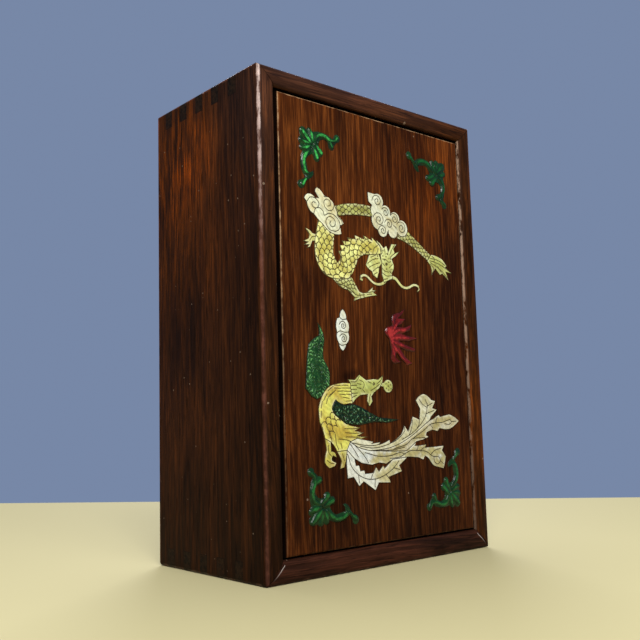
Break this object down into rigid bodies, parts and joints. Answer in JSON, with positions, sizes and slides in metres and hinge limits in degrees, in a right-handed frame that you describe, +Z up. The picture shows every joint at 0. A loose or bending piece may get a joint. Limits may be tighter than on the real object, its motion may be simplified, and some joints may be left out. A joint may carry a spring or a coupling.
{
  "type": "keepsake box",
  "caption": "Upright rosewood keepsake box with dovetailed boards, a mitred moulded frame and a sliding lid, inlaid in shell and stone with a dragon, a phoenix and carved corner scrolls.",
  "frame": {"origin": "middle of the bottom of the box's bounding block, at the lower end that it stands on", "axes": "+Z up the long side, +X across the lid to the viewer's right, +Y from the lid to the back board"},
  "size_m": [0.18, 0.108, 0.28],
  "materials": {
    "dark_rosewood": "waxed, worn at the edges",
    "panel_rosewood": "waxed",
    "white_shell": "polished shell, engraved",
    "cream_shell": "polished shell, engraved",
    "golden_shell": "polished horn, engraved",
    "green_stone": "polished carved stone",
    "dark_green_stone": "polished carved stone",
    "red_stone": "polished carved stone"
  },
  "bodies": {
    "carcass": {"left_side_board": "dark_rosewood", "right_side_board": "dark_rosewood", "top_end_board": "dark_rosewood", "lower_end_board": "dark_rosewood", "back_board": "dark_rosewood"},
    "lid": {"lid_panel": "panel_rosewood", "lid_end_rail": "dark_rosewood", "curled_tail_feather": "white_shell", "dragon_arch": "cream_shell", "dragon_body": "cream_shell", "dragon_foreleg": "cream_shell", "dragon_head": "cream_shell", "dragon_hind_claw": "cream_shell", "dragon_jaw": "cream_shell", "dragon_left_whisker": "cream_shell", "dragon_right_whisker": "cream_shell", "dragon_tail": "cream_shell", "dragon_tail_tuft": "cream_shell", "left_cloud": "white_shell", "lower_left_corner_scroll": "green_stone", "lower_right_corner_scroll": "green_stone", "lower_tail_feather": "white_shell", "middle_tail_feather": "white_shell", "phoenix_body": "golden_shell", "phoenix_comb": "cream_shell", "phoenix_head": "cream_shell", "phoenix_left_wing": "green_stone", "phoenix_legs": "golden_shell", "phoenix_right_wing": "dark_green_stone", "red_flame": "red_stone", "right_cloud": "white_shell", "small_cloud": "white_shell", "top_left_corner_scroll": "green_stone", "top_right_corner_scroll": "green_stone", "upper_tail_feather": "white_shell"}
  },
  "joints": [
    {"name": "lid_slide", "type": "slide", "parent": "carcass", "child": "lid", "axis": [0, 0, -1], "range_m": [0, 0.25]}
  ]
}
